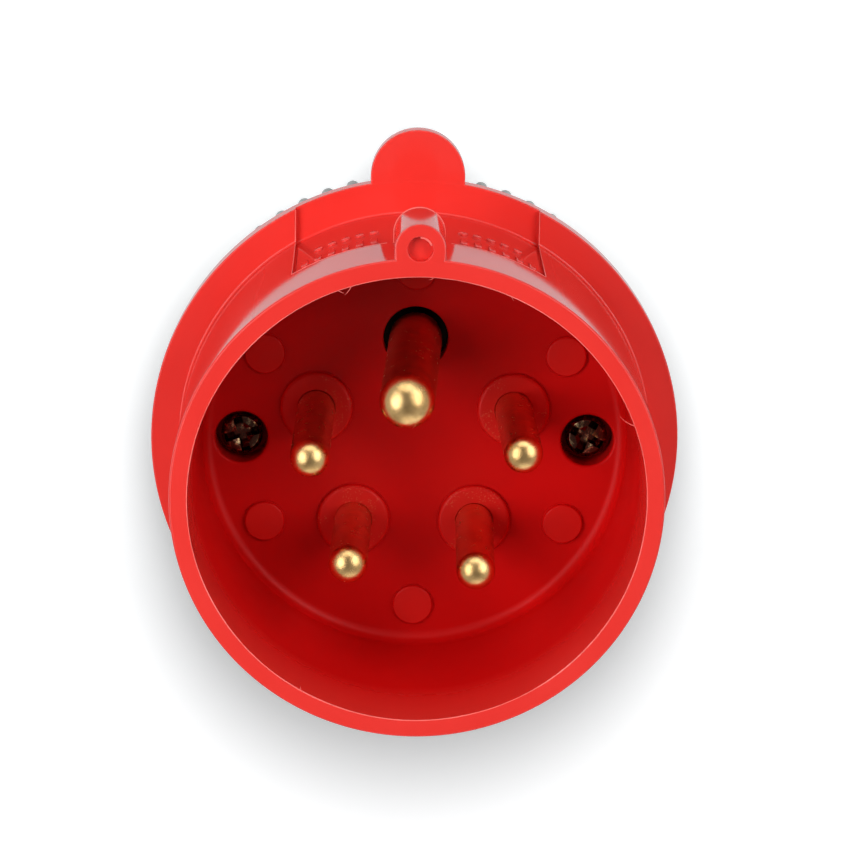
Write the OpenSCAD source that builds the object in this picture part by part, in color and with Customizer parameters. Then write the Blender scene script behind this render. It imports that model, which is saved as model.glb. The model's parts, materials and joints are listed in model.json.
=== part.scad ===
// Five-contact industrial pin and sleeve plug, straight cable type.
// It stands on the rear face of its gland nut: the origin is the centre of the cable entry, +Z runs
// along the pins towards the rim of the shroud, and +Y points to the key and the top lug.

/* [Overall] */
// Length from the rear face of the gland nut to the rim
total_len = 116; // [112:1:135]

/* [Shroud] */
// Outside diameter at the rim
shroud_d = 62; // [60:0.5:64]
// Inside diameter at the mouth
mouth_d = 57.5; // [55:0.5:58.5]
// Depth from the rim to the floor
shroud_depth = 31; // [26:0.5:36]
// How much the inside radius closes in towards the floor
cavity_draft = 0.4; // [0.2:0.1:0.8]
// How much the outside radius grows towards the flange
wall_draft = 0.8; // [0.2:0.1:1.2]
// Radius of the rounded rim edges
rim_round = 0.4; // [0.2:0.1:0.8]
// Radius of the inside corner between wall and floor
floor_fillet = 1.6; // [0.8:0.1:3]
// Thickness of the floor
floor_t = 3; // [2.5:0.1:4]

/* [Flange] */
// Diameter of the flange
flange_d = 70.2; // [69.6:0.2:76]
// Thickness of the flange
flange_t = 3.2; // [2.6:0.1:4]
// Height of the flange's front face above the floor
flange_rise = 1; // [0.4:0.1:2]
// Radius of the corner between the shroud and the flange
root_fillet = 2; // [0.5:0.1:2.4]
// Radius of the flange's outer edges
flange_edge = 0.4; // [0.2:0.1:0.8]
// Radius of the half-round lug on top
lug_r = 6.2; // [4.5:0.1:7]
// Distance from the axis to the centre of the lug
lug_y = 35.5; // [34:0.1:38]

/* [Key and pocket] */
// Width of the key on top of the shroud
key_w = 6.3; // [5:0.1:8]
// Distance from the axis to the centre of the key's arch
key_y = 32.2; // [32:0.1:33.5]
// Length of the key
key_len = 10.5; // [7:0.5:12]
// How much wider the key is at its rear end
key_draft = 0.25; // [0:0.05:0.4]
// Diameter of the round dimple in the key
key_hole_d = 3.1; // [2:0.1:3.6]
// Depth of the dimple in the key
key_hole_depth = 0.6; // [0.4:0.1:7]
// Width of the marking pocket behind the key
pocket_w = 32; // [24:1:36]
// Distance from the rim to the front end of the pocket
pocket_front = 10.8; // [10.6:0.1:14]
// Depth of the pocket in the wall and in the flange
pocket_depth = 0.8; // [0.4:0.1:1]

/* [Contacts] */
// Diameter of the circle through the pin centres
pin_circle_d = 27.6; // [26:0.1:29]
// Diameter of the live and neutral pins
live_d = 5; // [4.5:0.1:5.4]
// Diameter of the earth pin
earth_d = 7; // [6.4:0.1:7.4]
// Depth of the live and neutral tips below the rim
live_tip_depth = 6.2; // [4:0.1:12]
// Depth of the earth tip below the rim
earth_tip_depth = 0.9; // [0.5:0.1:5]
// Diameter of the live and neutral terminal barrels
live_barrel_d = 8; // [7.6:0.1:8.6]
// Diameter of the earth terminal barrel
earth_barrel_d = 9.4; // [9:0.1:9.8]
// Diameter of the retaining collar beyond each barrel's diameter
pin_collar_extra = 1.2; // [0.8:0.1:1.6]
// Thickness of the retaining collars
pin_collar_t = 1.8; // [1.2:0.1:2.4]
// How much narrower each pin is where it passes the floor
pin_neck_cut = 1; // [0.8:0.1:1.4]
// Length of the terminal barrels
barrel_len = 16; // [13:0.5:18]
// Diameter of the wire bores in the barrels
wire_bore_d = 4.2; // [3.4:0.1:4.6]
// Depth of the wire bores
wire_bore_depth = 12; // [10:0.5:13]
// Chamfer at the rear ends of the barrels
barrel_chamfer = 0.5; // [0.2:0.1:0.8]

/* [Floor details] */
// Diameter of the raised rings round the live and neutral pins
ring_d = 9.8; // [9:0.1:10.6]
// Height of the raised rings
ring_h = 0.8; // [0.4:0.1:1.4]
// Diameter of the holes for the live and neutral pins
live_hole_d = 5.7; // [5.5:0.1:6.2]
// Diameter of the hole for the earth pin
earth_hole_d = 8.6; // [7.6:0.1:9]
// Width of the countersinks in the raised rings
ring_sink = 0.4; // [0.2:0.1:0.8]
// Number of round moulding pips
pip_count = 6; // [3:1:6]
// Diameter of the circle through the pips
pip_circle_d = 46.2; // [45:0.2:49]
// Diameter of the pips
pip_d = 5.5; // [4:0.1:6]
// Height of the pips
pip_h = 0.6; // [0.3:0.1:1.2]

/* [Housing screws] */
// Distance between the two screws
screw_span = 46.2; // [45.6:0.1:47]
// Diameter of the counterbores
counterbore_d = 7.2; // [6.4:0.1:7.6]
// Depth from the floor to the top of the screw heads
screw_sink = 2.4; // [1:0.1:3]
// Diameter of the screw heads
screw_head_d = 5.6; // [4.6:0.1:6]
// Height of the screw heads
screw_head_h = 2.2; // [1.8:0.1:2.6]
// Diameter of the screw shanks
screw_d = 3.4; // [3:0.1:3.8]
// Length of the screws under the head
screw_len = 13; // [11:0.5:16]
// Width of the cross recess's slots
recess_w = 1; // [0.8:0.1:1.2]
// Depth of the cross recess
recess_depth = 1.4; // [1:0.1:1.6]
// Turn of the left screw's recess about its axis
recess_turn_left = 15; // [0:1:89]
// Turn of the right screw's recess about its axis
recess_turn_right = 62; // [0:1:89]
// Diameter of the threaded bushes
bush_d = 5; // [4.6:0.1:5.2]
// Length of the threaded bushes
bush_len = 8; // [6:0.5:8]
// Wall of the posts round the bushes
post_wall = 1.5; // [1.2:0.1:1.6]
// Room left under the screws' ends
screw_end_gap = 0.5; // [0.3:0.1:1.5]
// Height of the crowned edge of the screw heads
screw_crown = 0.5; // [0.2:0.1:0.8]
// Rim left round the cross recess
recess_rim = 0.5; // [0.3:0.1:0.8]
// Wall of the bosses round the counterbores
boss_wall = 1.5; // [1.2:0.1:1.6]

/* [Contact carrier] */
// Diameter of the carrier's front plate
plate_d = 55; // [52:0.5:55.5]
// Thickness of the front plate
plate_t = 4.2; // [4:0.1:5]
// Diameter of the tower that holds the barrels
tower_d = 40.4; // [38.4:0.2:41]
// Height of the tower
tower_len = 17; // [16:0.5:20]
// Radius of the centre hole through the carrier
carrier_core_r = 4; // [2:0.5:5]

/* [Terminal screws] */
// Diameter of the terminal screws
term_screw_d = 3.9; // [3:0.1:3.9]
// Diameter of the terminal screw heads
term_head_d = 5.8; // [5:0.1:6]
// Height of the terminal screw heads
term_head_h = 2; // [1.6:0.1:2.4]
// Width of the slot in the heads
term_slot_w = 0.9; // [0.6:0.1:1.2]
// Distance from the rear end of a barrel to its screw
term_screw_up = 5; // [4.5:0.1:8]
// How far the screws reach into the wire bores
term_screw_bite = 1.2; // [0.6:0.1:1.6]

/* [Rear housing] */
// Diameter of the grip band between its ribs
band_d = 66.4; // [66:0.2:68]
// Length of the grip band
band_len = 8.5; // [6:0.5:12]
// Number of ribs round the grip band
rib_count = 60; // [24:2:72]
// Diameter of the ribs
rib_d = 1.8; // [1.2:0.1:2]
// Wall of the rear housing
rear_wall = 2.2; // [1.8:0.1:2.4]
// Diameter of the shoulder where the body meets the gland nut
shoulder_d = 40; // [38:0.5:42]
// Swelling of the tapered body over a straight taper
body_swell = 0.6; // [0:0.1:1.2]
// Number of long ribs down the tapered body
body_rib_count = 12; // [8:2:16]
// Width of the long ribs
body_rib_w = 2.4; // [1.6:0.1:3]
// Height of the long ribs at their middle
body_rib_h = 0.7; // [0.4:0.1:1.2]
// Length of the spigot by which the front housing enters the rear one
spigot_len = 7; // [5:0.5:9]
// Wall of the spigot
spigot_wall = 2.6; // [2:0.1:3]
// Chamfer at the front edge of the grip band
band_chamfer = 0.4; // [0.2:0.1:0.6]
// Thickness of the sealing ring between the housings
gasket_t = 1; // [0.6:0.1:1.6]
// How far the sealing ring lies inside the grip band's outline
gasket_inset = 0.4; // [0.2:0.1:0.8]

/* [Cable gland] */
// Length of the gland nut
nut_len = 32; // [28:1:36]
// Diameter of the gland nut
nut_d = 40; // [38:0.5:41]
// Thickness of the gland nut's end wall
nut_end_t = 4; // [3:0.1:5]
// Diameter of the cable entry
entry_d = 18; // [12:0.5:20]
// Number of flutes round the gland nut
flute_count = 24; // [12:1:32]
// Diameter of the flutes
flute_d = 2.6; // [1.6:0.1:3.2]
// Depth of the flutes
flute_depth = 0.7; // [0.4:0.1:1]
// Plain length below the flutes
flute_start = 4; // [2:0.5:8]
// Chamfer at both ends of the gland nut
nut_chamfer = 1; // [0.5:0.1:1.5]
// Outside diameter of the threaded neck
neck_d = 32; // [31:0.5:33]
// Travel left between the neck and the thrust ring for tightening
squeeze_gap = 2; // [1:0.1:3]
// Gap between the gland nut and the shoulder of the rear housing
shoulder_gap = 0.2; // [0.1:0.1:1]
// Chamfer at the neck's end
neck_chamfer = 0.6; // [0.3:0.1:1]
// Bore of the neck
neck_bore_d = 25; // [23:0.5:26]
// Bore above the sealing sleeve
throat_d = 19; // [16:0.5:20]
// Length of the sealing sleeve
grommet_len = 21; // [16:0.5:23]
// Diameter of the hole in the sealing sleeve
grommet_hole_d = 13; // [8:0.5:16]
// Thickness of the thrust ring
ring_t = 2; // [1.2:0.1:3]
// Inside diameter of the thrust ring
thrust_hole_d = 17; // [14:0.5:19]

/* [Clearances] */
// Gap all round between the nut and the neck
thread_gap = 0.3; // [0.2:0.05:0.5]
// Gap between faces that rest against each other
seat_gap = 0.1; // [0.05:0.05:0.3]
// Gap all round a part that is slid into another
slip_gap = 0.15; // [0.1:0.05:0.3]
// Gap all round a screw in its thread
screw_gap = 0.05; // [0.02:0.01:0.1]
// Gap all round a terminal screw's head in the carrier
head_gap = 0.3; // [0.2:0.05:0.5]

/* [Hidden] */
$fn = 96;

// Colours
red = [0.85, 0.09, 0.08];
grey = [0.62, 0.64, 0.63];
dark_grey = [0.25, 0.26, 0.27];
brass = [0.80, 0.65, 0.36];
yellow_zinc = [0.72, 0.60, 0.35];
black_rubber = [0.08, 0.08, 0.08];

// Contact positions, as angles about the axis
earth_angle = 90;
contact_step = 72;
l1_angle = earth_angle + contact_step;
l2_angle = earth_angle + 2 * contact_step;
l3_angle = earth_angle + 3 * contact_step;
neutral_angle = earth_angle + 4 * contact_step;
live_angles = [l1_angle, l2_angle, l3_angle, neutral_angle];

// Heights, from the rim down
rim_z = total_len;
floor_z = rim_z - shroud_depth;
floor_back_z = floor_z - floor_t;
flange_front_z = floor_z + flange_rise;
flange_back_z = flange_front_z - flange_t;
pocket_face_z = flange_front_z - pocket_depth;
spigot_end_z = flange_back_z - spigot_len;
rear_top_z = flange_back_z - gasket_t - 2 * seat_gap;
band_end_z = rear_top_z - band_len;
screw_seat_z = floor_z - screw_sink - screw_head_h;
boss_end_z = screw_seat_z - boss_wall;
post_top_z = boss_end_z - seat_gap;
post_hole_end_z = screw_seat_z - screw_len - screw_end_gap;
post_end_z = post_hole_end_z - rear_wall;
web_top_z = spigot_end_z - 5 * seat_gap;
plate_top_z = floor_back_z - seat_gap;
plate_end_z = plate_top_z - plate_t;
tower_end_z = plate_end_z - tower_len;
collar_end_z = plate_top_z - pin_collar_t;
barrel_end_z = collar_end_z - barrel_len;
term_screw_z = barrel_end_z + term_screw_up;

// Heights in the gland, from the base up
thrust_z = nut_end_t + seat_gap;
grommet_z = thrust_z + ring_t + seat_gap;
neck_end_z = grommet_z + squeeze_gap;
shoulder_z = nut_len + shoulder_gap;
grommet_top_z = grommet_z + grommet_len;
throat_z = grommet_top_z + seat_gap;

// Radii
shroud_r = shroud_d / 2;
root_r = shroud_r + wall_draft;
mouth_r = mouth_d / 2;
cavity_r = mouth_r - cavity_draft;
flange_r = flange_d / 2;
pin_circle_r = pin_circle_d / 2;
spigot_r = shroud_r - slip_gap;
spigot_in_r = spigot_r - spigot_wall;
boss_r = counterbore_d / 2 + boss_wall;
band_r = band_d / 2;
rear_bore_r = spigot_r + slip_gap;
nut_bore_r = neck_d / 2 + thread_gap;
grommet_r = neck_bore_d / 2 - slip_gap;
post_r = bush_d / 2 + post_wall;
pocket_floor_front_r = shroud_r - pocket_depth / 2;

cut = 1; // how far a cutting tool runs past the face it opens
rib_end_gap = 0.6; // plain band left above and below the ribs
rib_sink = 0.3; // how far the ends of the long ribs sink into the tapered body
taper_steps = 8; // straight pieces in the outline of the tapered body

// Points of an arc about centre c, from angle a0 to a1
function arc(c, r, a0, a1, n = 6) =
    [for (i = [0:n]) c + r * [cos(a0 + (a1 - a0) * i / n), sin(a0 + (a1 - a0) * i / n)]];

// Places its children at each angle on the pin circle
module on_pin_circle(angles) {
    for (a = angles) {
        rotate(a)
            translate([pin_circle_r, 0, 0])
                children();
    }
}

// Places its children at both housing screws
module at_screws() {
    for (side = [-1, 1]) {
        translate([side * screw_span / 2, 0, 0])
            children();
    }
}

// ---- front housing ----

// Half section of the shroud, floor, flange and spigot
module front_section() {
    polygon(concat(
        [[spigot_in_r, spigot_end_z], [spigot_r, spigot_end_z], [spigot_r, flange_back_z]],
        arc([flange_r - flange_edge, flange_back_z + flange_edge], flange_edge, -90, 0, 3),
        arc([flange_r - flange_edge, flange_front_z - flange_edge], flange_edge, 0, 90, 3),
        arc([root_r + root_fillet, flange_front_z + root_fillet], root_fillet, 270, 180),
        arc([shroud_r - rim_round, rim_z - rim_round], rim_round, 0, 90, 3),
        arc([mouth_r + rim_round, rim_z - rim_round], rim_round, 90, 180, 3),
        arc([cavity_r - floor_fillet, floor_z + floor_fillet], floor_fillet, 0, -90),
        [[0, floor_z], [0, floor_back_z], [spigot_in_r, floor_back_z]]));
}

// Arch that stands on top of the shroud at the rim
module key() {
    key_r = key_w / 2;
    key_end_z = rim_z - key_len;
    translate([0, key_y, key_end_z])
        cylinder(h = key_len, r1 = key_r + key_draft, r2 = key_r);
    translate([-key_r, mouth_r + (shroud_r - mouth_r) / 2, key_end_z])
        cube([key_w, key_y - mouth_r - (shroud_r - mouth_r) / 2, key_len]);
}

// Half-round ear on the flange
module lug() {
    lug_t = pocket_face_z - flange_back_z;
    translate([0, lug_y, flange_back_z])
        cylinder(h = lug_t, r = lug_r);
    translate([-lug_r, shroud_r, flange_back_z])
        cube([2 * lug_r, lug_y - shroud_r, lug_t]);
}

// What the marking pocket takes away from the wall and the flange's face
module pocket_tool() {
    front_z = rim_z - pocket_front;
    difference() {
        translate([-pocket_w / 2, 0, pocket_face_z])
            cube([pocket_w, flange_r + lug_r + cut, front_z - pocket_face_z]);
        translate([0, 0, pocket_face_z - cut])
            cylinder(h = front_z - pocket_face_z + 2 * cut,
                     r1 = root_r - pocket_depth / 2, r2 = pocket_floor_front_r);
    }
}

// Hole for one live or neutral pin, with a countersink in its ring
module live_hole() {
    ring_top_z = floor_z + ring_h;
    translate([0, 0, floor_back_z - cut])
        cylinder(h = ring_top_z - floor_back_z + 2 * cut, d = live_hole_d);
    translate([0, 0, ring_top_z - ring_sink])
        cylinder(h = 2 * ring_sink, d1 = live_hole_d, d2 = live_hole_d + 4 * ring_sink);
}

module front_housing() {
    color(red)
        difference() {
            union() {
                rotate_extrude($fn = 180)
                    front_section();
                key();
                lug();
                on_pin_circle(live_angles)
                    translate([0, 0, floor_z - floor_t / 2])
                        cylinder(h = floor_t / 2 + ring_h, d = ring_d);
                for (i = [0:pip_count - 1]) {
                    rotate(earth_angle + i * 360 / pip_count)
                        translate([pip_circle_d / 2, 0, floor_z - floor_t / 2])
                            cylinder(h = floor_t / 2 + pip_h, d = pip_d);
                }
                at_screws()
                    translate([0, 0, boss_end_z])
                        cylinder(h = floor_z - floor_t / 2 - boss_end_z, r = boss_r);
            }
            pocket_tool();
            translate([0, key_y, rim_z - key_hole_depth])
                cylinder(h = key_hole_depth + cut, d = key_hole_d);
            on_pin_circle(live_angles)
                live_hole();
            on_pin_circle([earth_angle])
                translate([0, 0, floor_back_z - cut])
                    cylinder(h = floor_t + 2 * cut, d = earth_hole_d);
            at_screws() {
                translate([0, 0, screw_seat_z])
                    cylinder(h = floor_z - screw_seat_z + cut, d = counterbore_d);
                translate([0, 0, boss_end_z - cut])
                    cylinder(h = boss_wall + 2 * cut, d = screw_d + 2 * slip_gap);
            }
        }
}

// ---- contacts ----

// One turned pin, standing on its own axis: round tip, shaft, collar and terminal barrel
module contact_pin(d, tip_depth, barrel_d, neck_top_z) {
    r = d / 2;
    neck_r = r - pin_neck_cut / 2;
    tip_z = rim_z - tip_depth;
    collar_r = barrel_d / 2 + pin_collar_extra / 2;
    chamfer = barrel_chamfer;
    difference() {
        rotate_extrude()
            polygon(concat(
                [[0, barrel_end_z], [barrel_d / 2 - chamfer, barrel_end_z],
                 [barrel_d / 2, barrel_end_z + chamfer], [barrel_d / 2, collar_end_z],
                 [collar_r, collar_end_z], [collar_r, plate_top_z], [neck_r, plate_top_z],
                 [neck_r, neck_top_z], [r, neck_top_z]],
                arc([0, tip_z - r], r, 0, 90, 10)));
        translate([0, 0, barrel_end_z - cut])
            cylinder(h = wire_bore_depth + cut, d = wire_bore_d);
        translate([0, 0, term_screw_z])
            rotate([0, 90, 0])
                cylinder(h = barrel_d, d = term_screw_d + 2 * screw_gap);
    }
}

module live_pin(angle) {
    color(brass)
        on_pin_circle([angle])
            contact_pin(live_d, live_tip_depth, live_barrel_d, floor_z + ring_h);
}

module pin_earth() {
    color(brass)
        on_pin_circle([earth_angle])
            contact_pin(earth_d, earth_tip_depth, earth_barrel_d, floor_z);
}

module pin_l1() {
    live_pin(l1_angle);
}

module pin_l2() {
    live_pin(l2_angle);
}

module pin_l3() {
    live_pin(l3_angle);
}

module pin_neutral() {
    live_pin(neutral_angle);
}

// Slotted screw that clamps the wire, pointing at the axis of the plug
module terminal_screw(angle) {
    head_x = tower_d / 2 - pin_circle_r - term_head_h / 2;
    tip_x = wire_bore_d / 2 - term_screw_bite;
    color(yellow_zinc)
        rotate(angle)
            translate([pin_circle_r, 0, term_screw_z])
                rotate([0, 90, 0])
                    difference() {
                        union() {
                            translate([0, 0, tip_x])
                                cylinder(h = head_x - tip_x + term_head_h / 4, d = term_screw_d);
                            translate([0, 0, head_x])
                                cylinder(h = term_head_h, d = term_head_d);
                        }
                        translate([-term_head_d, -term_slot_w / 2, head_x + term_head_h / 2])
                            cube([2 * term_head_d, term_slot_w, term_head_h]);
                    }
}

module terminal_screw_earth() {
    terminal_screw(earth_angle);
}

module terminal_screw_l1() {
    terminal_screw(l1_angle);
}

module terminal_screw_l2() {
    terminal_screw(l2_angle);
}

module terminal_screw_l3() {
    terminal_screw(l3_angle);
}

module terminal_screw_neutral() {
    terminal_screw(neutral_angle);
}

// ---- contact carrier ----

// Room for one contact: collar seat, barrel hole and the way in for its terminal screw
module contact_room(barrel_d) {
    collar_d = barrel_d + pin_collar_extra;
    translate([0, 0, collar_end_z - seat_gap])
        cylinder(h = pin_collar_t + cut, d = collar_d + 2 * slip_gap);
    translate([0, 0, tower_end_z - cut])
        cylinder(h = plate_top_z - tower_end_z + 2 * cut, d = barrel_d + 2 * slip_gap);
    translate([0, 0, term_screw_z])
        rotate([0, 90, 0])
            cylinder(h = tower_d, d = term_head_d + 2 * head_gap);
}

module contact_carrier() {
    color(dark_grey)
        difference() {
            union() {
                translate([0, 0, plate_end_z])
                    cylinder(h = plate_t, d = plate_d);
                translate([0, 0, tower_end_z])
                    cylinder(h = tower_len + plate_t / 2, d = tower_d);
            }
            on_pin_circle(live_angles)
                contact_room(live_barrel_d);
            on_pin_circle([earth_angle])
                contact_room(earth_barrel_d);
            translate([0, 0, tower_end_z - cut])
                cylinder(h = plate_top_z - tower_end_z + 2 * cut, r = carrier_core_r);
            at_screws() {
                translate([0, 0, plate_end_z - cut])
                    cylinder(h = plate_t + 2 * cut, r = boss_r + slip_gap);
                translate([0, 0, tower_end_z - cut])
                    cylinder(h = tower_len + 2 * cut, r = post_r + slip_gap);
            }
        }
}

// ---- housing screws and bushes ----

// Pan-head screw with a cross recess, on its own axis
module housing_screw(recess_turn) {
    head_r = screw_head_d / 2;
    head_z = screw_seat_z + seat_gap;
    head_top_z = screw_seat_z + screw_head_h;
    end_z = screw_seat_z - screw_len;
    recess_len = screw_head_d - 2 * recess_rim;
    color(yellow_zinc)
        difference() {
            rotate_extrude()
                polygon([[0, end_z], [screw_d / 2, end_z], [screw_d / 2, head_z], [head_r, head_z],
                         [head_r, head_top_z - screw_crown], [head_r - screw_crown, head_top_z],
                         [0, head_top_z]]);
            for (a = [0, 90]) {
                translate([0, 0, head_top_z - recess_depth])
                    rotate(recess_turn + a)
                        translate([-recess_len / 2, -recess_w / 2, 0])
                            cube([recess_len, recess_w, recess_depth + cut]);
            }
        }
}

module housing_screw_left() {
    translate([-screw_span / 2, 0, 0])
        housing_screw(recess_turn_left);
}

module housing_screw_right() {
    translate([screw_span / 2, 0, 0])
        housing_screw(recess_turn_right);
}

// Brass bush pressed into the post under a housing screw
module screw_bush() {
    color(brass)
        translate([0, 0, post_top_z - bush_len])
            difference() {
                cylinder(h = bush_len, d = bush_d);
                translate([0, 0, -cut])
                    cylinder(h = bush_len + 2 * cut, d = screw_d + 2 * screw_gap);
            }
}

module screw_bush_left() {
    translate([-screw_span / 2, 0, 0])
        screw_bush();
}

module screw_bush_right() {
    translate([screw_span / 2, 0, 0])
        screw_bush();
}

// ---- seal and rear housing ----

module flange_gasket() {
    color(black_rubber)
        translate([0, 0, flange_back_z - seat_gap - gasket_t])
            difference() {
                cylinder(h = gasket_t, r = band_r - gasket_inset);
                translate([0, 0, -cut])
                    cylinder(h = gasket_t + 2 * cut, r = rear_bore_r + slip_gap);
            }
}

// Points of the tapered body from the shoulder to the grip band, for the given swelling and inset
function taper(swell, inset, n = taper_steps) =
    [for (i = [0:n])
        let (t = i / n)
        [shoulder_d / 2 + (band_r - shoulder_d / 2) * t + swell * sin(180 * t) - inset,
         shoulder_z + (band_end_z - shoulder_z) * t]];

function reversed(list) = [for (i = [len(list) - 1:-1:0]) list[i]];

// Half section of the rear housing, with its neck
module rear_section() {
    inner = taper(body_swell, rear_wall);
    first = ceil(taper_steps * rear_wall / (band_end_z - shoulder_z));
    polygon(concat(
        [[neck_bore_d / 2, neck_end_z], [neck_d / 2 - neck_chamfer, neck_end_z],
         [neck_d / 2, neck_end_z + neck_chamfer], [neck_d / 2, shoulder_z]],
        taper(body_swell, 0),
        [[band_r, rear_top_z - band_chamfer], [band_r - band_chamfer, rear_top_z],
         [rear_bore_r, rear_top_z], [rear_bore_r, spigot_end_z - seat_gap]],
        reversed([for (i = [first:taper_steps]) inner[i]]),
        [[throat_d / 2, shoulder_z + rear_wall], [throat_d / 2, throat_z],
         [neck_bore_d / 2, throat_z]]));
}

// One long rib on the tapered body: it rises from the shoulder and sinks back at the grip band
module body_rib() {
    rotate([90, 0, 0])
        linear_extrude(body_rib_w, center = true)
            polygon(concat(taper(body_swell + body_rib_h + rib_sink, rib_sink),
                           reversed(taper(body_swell, rear_wall / 2))));
}

module rear_housing() {
    color(grey)
        difference() {
            union() {
                rotate_extrude()
                    rear_section();
                for (i = [0:body_rib_count - 1]) {
                    rotate((i + 0.5) * 360 / body_rib_count)
                        body_rib();
                }
                for (i = [0:rib_count - 1]) {
                    rotate((i + 0.5) * 360 / rib_count)
                        translate([band_r, 0, band_end_z + rib_end_gap])
                            cylinder(h = band_len - 2 * rib_end_gap, d = rib_d, $fn = 24);
                }
                at_screws()
                    translate([0, 0, post_end_z])
                        cylinder(h = post_top_z - post_end_z, r = post_r);
                for (side = [0, 180]) {
                    rotate(side)
                        translate([screw_span / 2, -post_r / 2, post_end_z])
                            cube([rear_bore_r - screw_span / 2, post_r, web_top_z - post_end_z]);
                }
            }
            at_screws()
                translate([0, 0, post_hole_end_z])
                    cylinder(h = post_top_z - post_hole_end_z, d = screw_d + 2 * slip_gap);
            at_screws()
                translate([0, 0, post_top_z - bush_len])
                    cylinder(h = bush_len + cut, d = bush_d);
        }
}

// ---- cable gland ----

module cable_grommet() {
    color(black_rubber)
        translate([0, 0, grommet_z])
            difference() {
                cylinder(h = grommet_len, r = grommet_r);
                translate([0, 0, -cut])
                    cylinder(h = grommet_len + 2 * cut, d = grommet_hole_d);
            }
}

module gland_ring() {
    color(dark_grey)
        translate([0, 0, thrust_z])
            difference() {
                cylinder(h = ring_t, r = nut_bore_r - thread_gap);
                translate([0, 0, -cut])
                    cylinder(h = ring_t + 2 * cut, d = thrust_hole_d);
            }
}

module gland_nut() {
    nut_r = nut_d / 2;
    edge = nut_chamfer;
    flute_x = nut_r + flute_d / 2 - flute_depth;
    color(grey)
        difference() {
            rotate_extrude()
                polygon([[entry_d / 2, 0], [nut_r - edge, 0], [nut_r, edge], [nut_r, nut_len - edge],
                         [nut_r - edge, nut_len], [nut_bore_r, nut_len], [nut_bore_r, nut_end_t],
                         [entry_d / 2, nut_end_t]]);
            for (i = [0:flute_count - 1]) {
                rotate(i * 360 / flute_count)
                    translate([flute_x, 0, flute_start])
                        cylinder(h = nut_len, d = flute_d, $fn = 24);
            }
        }
}

front_housing();
contact_carrier();
pin_earth();
pin_l1();
pin_l2();
pin_l3();
pin_neutral();
terminal_screw_earth();
terminal_screw_l1();
terminal_screw_l2();
terminal_screw_l3();
terminal_screw_neutral();
housing_screw_left();
housing_screw_right();
screw_bush_left();
screw_bush_right();
flange_gasket();
rear_housing();
cable_grommet();
gland_ring();
gland_nut();
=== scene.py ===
import json
import math

import bmesh
import bpy
from mathutils import Matrix, Vector

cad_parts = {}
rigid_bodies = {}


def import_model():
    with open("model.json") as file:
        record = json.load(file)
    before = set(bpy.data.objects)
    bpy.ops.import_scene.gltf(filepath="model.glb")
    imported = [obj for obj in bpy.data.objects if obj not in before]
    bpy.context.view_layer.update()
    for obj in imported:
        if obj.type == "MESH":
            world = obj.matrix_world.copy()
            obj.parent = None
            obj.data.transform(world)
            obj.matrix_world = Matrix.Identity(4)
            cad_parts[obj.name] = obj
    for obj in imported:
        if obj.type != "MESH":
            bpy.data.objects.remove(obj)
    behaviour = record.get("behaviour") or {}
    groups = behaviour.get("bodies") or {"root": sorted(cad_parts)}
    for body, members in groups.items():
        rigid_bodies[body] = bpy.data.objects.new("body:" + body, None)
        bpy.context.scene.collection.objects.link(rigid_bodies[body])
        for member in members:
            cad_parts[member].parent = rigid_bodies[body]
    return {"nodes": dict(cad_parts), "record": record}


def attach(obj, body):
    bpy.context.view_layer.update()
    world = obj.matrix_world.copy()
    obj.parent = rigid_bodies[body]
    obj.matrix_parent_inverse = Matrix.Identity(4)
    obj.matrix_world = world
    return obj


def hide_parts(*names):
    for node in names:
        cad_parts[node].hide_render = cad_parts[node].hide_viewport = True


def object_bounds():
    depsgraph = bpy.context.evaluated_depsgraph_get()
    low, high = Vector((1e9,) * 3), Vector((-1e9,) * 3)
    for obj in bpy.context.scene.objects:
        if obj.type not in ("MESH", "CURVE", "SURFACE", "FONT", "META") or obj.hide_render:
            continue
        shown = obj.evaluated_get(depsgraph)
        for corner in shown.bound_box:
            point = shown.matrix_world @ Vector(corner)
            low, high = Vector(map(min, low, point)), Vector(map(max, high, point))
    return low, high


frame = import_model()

CAD_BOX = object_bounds()
MM = 0.001
TAU = 2 * math.pi

# ---- sizes, in millimetres ----
# Heights run along the axis from the nut's rear face. The sizes are the CAD source's, apart from
# the pins' lean and a few that follow the photo and differ by less than 1 mm.

# front housing: rim, floor, flange and spigot
RIM_Z = CAD_BOX[1].z / MM
FLOOR_Z = RIM_Z - 31.0
FLOOR_BACK_Z = FLOOR_Z - 3.0
JOIN_Z = FLOOR_Z - 1.5  # halfway through the floor, where raised forms and bosses end
FLANGE_FRONT_Z = FLOOR_Z + 1.0
FLANGE_BACK_Z = FLANGE_FRONT_Z - 3.2
SPIGOT_END_Z = FLANGE_BACK_Z - 7.0
SHROUD_R, ROOT_R = 31.0, 31.1
MOUTH_R, CAVITY_R = 28.75, 28.35
FLANGE_R = 35.09
SPIGOT_R, SPIGOT_IN_R = 30.85, 28.25
RIM_ROUND, MOUTH_ROUND = 0.3, 0.12
FLOOR_FILLET, ROOT_FILLET = 1.6, 0.35
FLANGE_EDGE, SPIGOT_EDGE = 0.2, 0.3

# lug, key with its round dimple, and the marking pocket behind the key
LUG_R, LUG_Y, LUG_FOOT_Y = 6.19, 35.5, 31.0
KEY_W, KEY_Y, KEY_LEN, KEY_DRAFT = 6.3, 32.2, 10.5, 0.05
KEY_FOOT_Y, KEY_EASE = 30.0, 0.25
KEY_HOLE_D, KEY_HOLE_DEPTH = 3.1, 1.1
POCKET_W, POCKET_FRONT, POCKET_DEPTH = 32.0, 10.8, 0.8
POCKET_FACE_Z = FLANGE_FRONT_Z - POCKET_DEPTH
POCKET_Z = RIM_Z - POCKET_FRONT

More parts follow.
